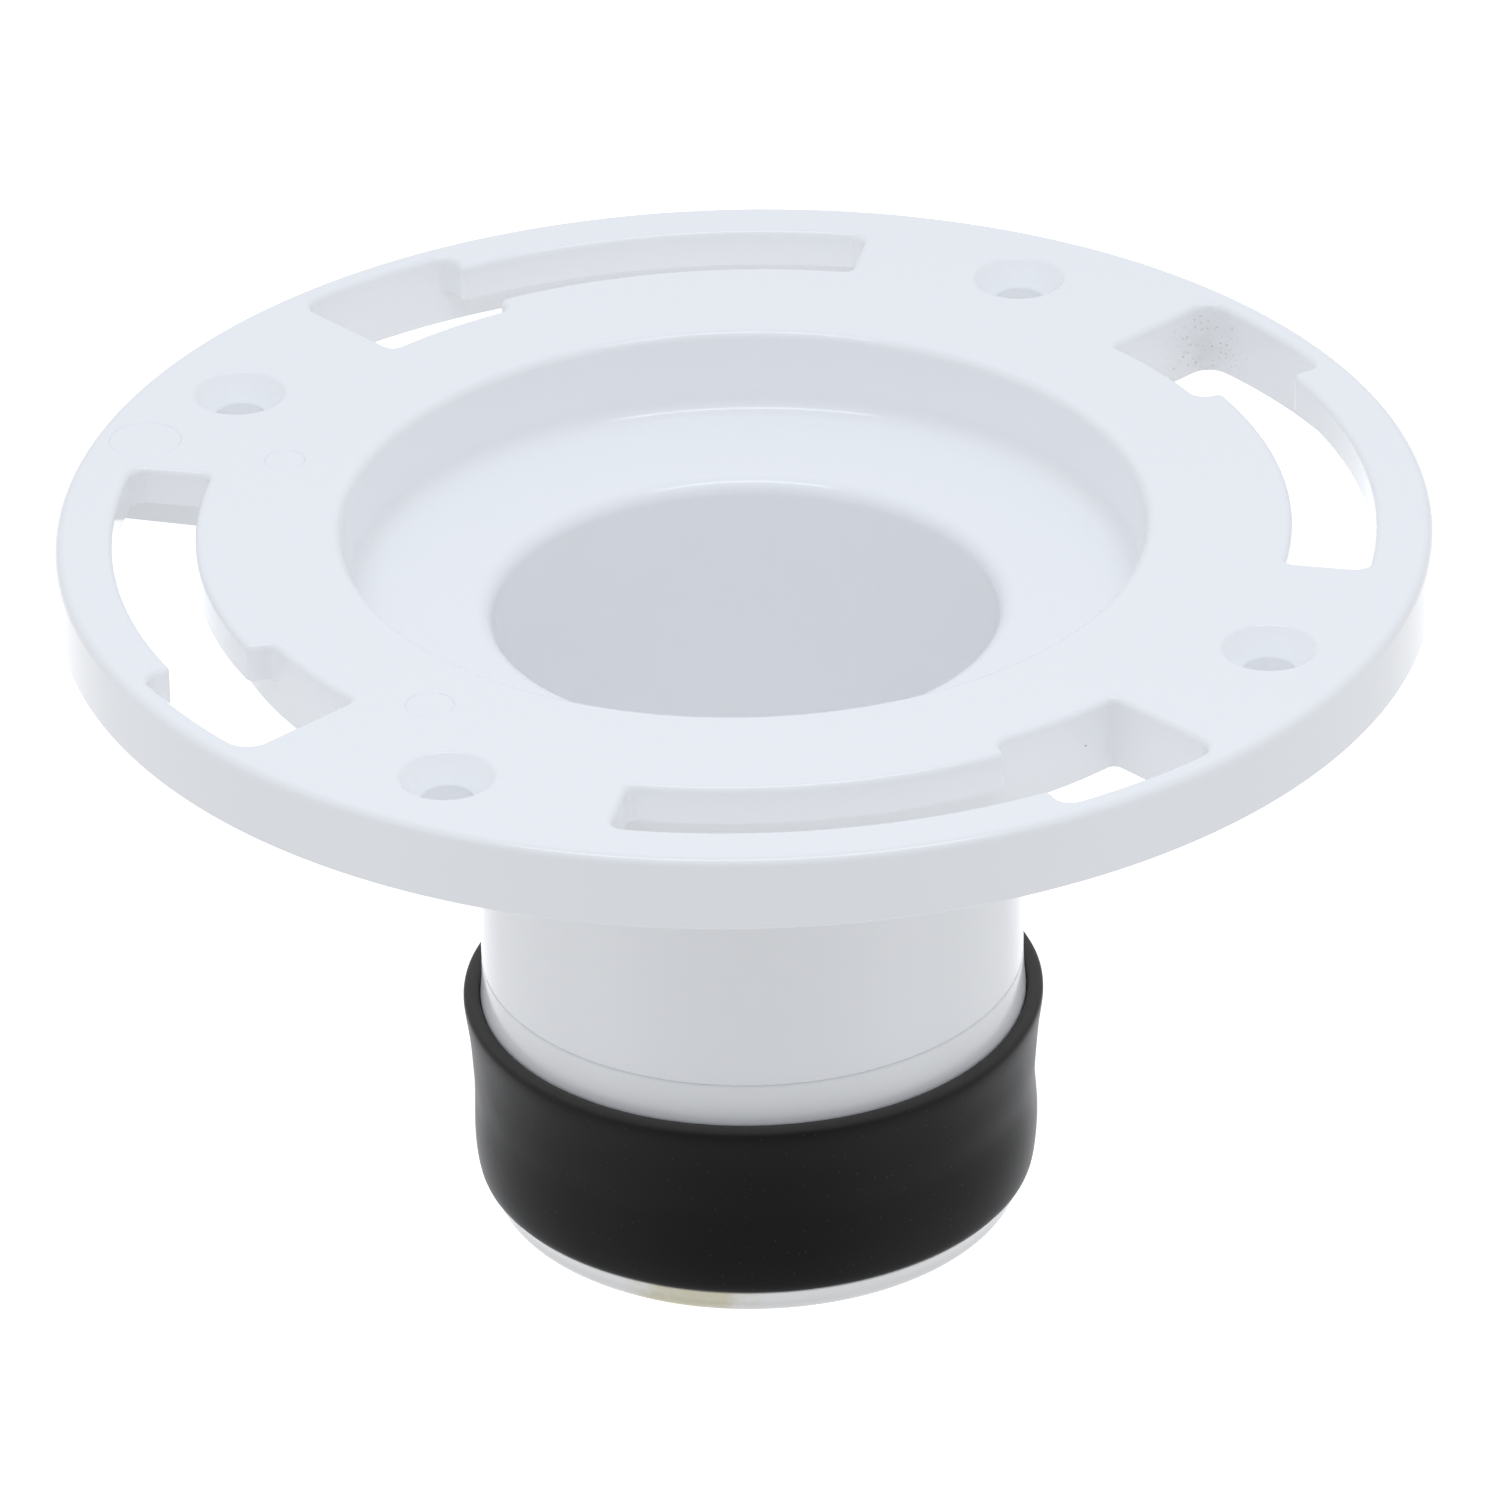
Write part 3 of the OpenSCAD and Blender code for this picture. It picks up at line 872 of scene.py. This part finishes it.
def studio_world():
    """The studio all round: bluish white overhead, darkest in front and brightest low at the back."""
    world = bpy.data.worlds.new("studio")
    world.use_nodes = True
    tree = world.node_tree

    def node(kind, **values):
        n = tree.nodes.new(kind)
        for key, value in values.items():
            setattr(n, key, value)
        return n

    direction = node("ShaderNodeTexCoord")
    split = node("ShaderNodeSeparateXYZ")
    tree.links.new(direction.outputs["Generated"], split.inputs["Vector"])
    along = node("ShaderNodeMapRange")
    along.inputs["From Min"].default_value = -1.0
    tree.links.new(split.outputs["Y"], along.inputs["Value"])

    def front_to_back(stops, tint):
        ramp = node("ShaderNodeValToRGB")
        elements = ramp.color_ramp.elements
        while len(elements) < len(stops):
            elements.new(0.5)
        for element, (position, value) in zip(elements, stops):
            element.position = position
            element.color = (value * tint[0], value * tint[1], value * tint[2], 1)
        tree.links.new(along.outputs["Result"], ramp.inputs["Fac"])
        return ramp.outputs["Color"]

    upper = node("ShaderNodeMix", data_type="RGBA")
    tree.links.new(split.outputs["Z"], upper.inputs["Factor"])
    tree.links.new(front_to_back(HORIZON, (1, 1, 1)), upper.inputs[6])
    upper.inputs[7].default_value = OVERHEAD
    down = node("ShaderNodeMath", operation="MULTIPLY", use_clamp=True)
    down.inputs[1].default_value = -2.2
    tree.links.new(split.outputs["Z"], down.inputs[0])
    lower = node("ShaderNodeMix", data_type="RGBA")
    tree.links.new(down.outputs[0], lower.inputs["Factor"])
    tree.links.new(upper.outputs[2], lower.inputs[6])
    tree.links.new(front_to_back(BELOW, (0.99, 1.0, 1.025)), lower.inputs[7])
    tree.links.new(lower.outputs[2], tree.nodes["Background"].inputs["Color"])
    return world


world = studio_world()
bpy.context.scene.world = world
bpy.context.scene.view_settings.view_transform = "Standard"

# the camera as it was fitted to the photo: where it stands, in metres, and how it is turned
CAMERA_PLACE = (0, -1.3643, 0.7339 + PLATE_H * MM)
pitch, yaw, roll = math.radians(29.392), math.radians(0.009), math.radians(-1.185)
forward = Vector((math.sin(yaw) * math.cos(pitch), math.cos(yaw) * math.cos(pitch), -math.sin(pitch)))
right = forward.cross(Vector((0, 0, 1))).normalized()
up = right.cross(forward)
right, up = (
    math.cos(roll) * right + math.sin(roll) * up,
    -math.sin(roll) * right + math.cos(roll) * up,
)
cam_data = bpy.data.cameras.new("camera")
cam_data.sensor_width = 36
cam_data.lens = 288
cam_data.clip_start, cam_data.clip_end = 0.05, 50
camera = bpy.data.objects.new("camera", cam_data)
bpy.context.scene.collection.objects.link(camera)
turn = Matrix((right, up, -forward)).transposed().to_4x4()
camera.matrix_world = Matrix.Translation(Vector(CAMERA_PLACE)) @ turn
bpy.context.scene.camera = camera
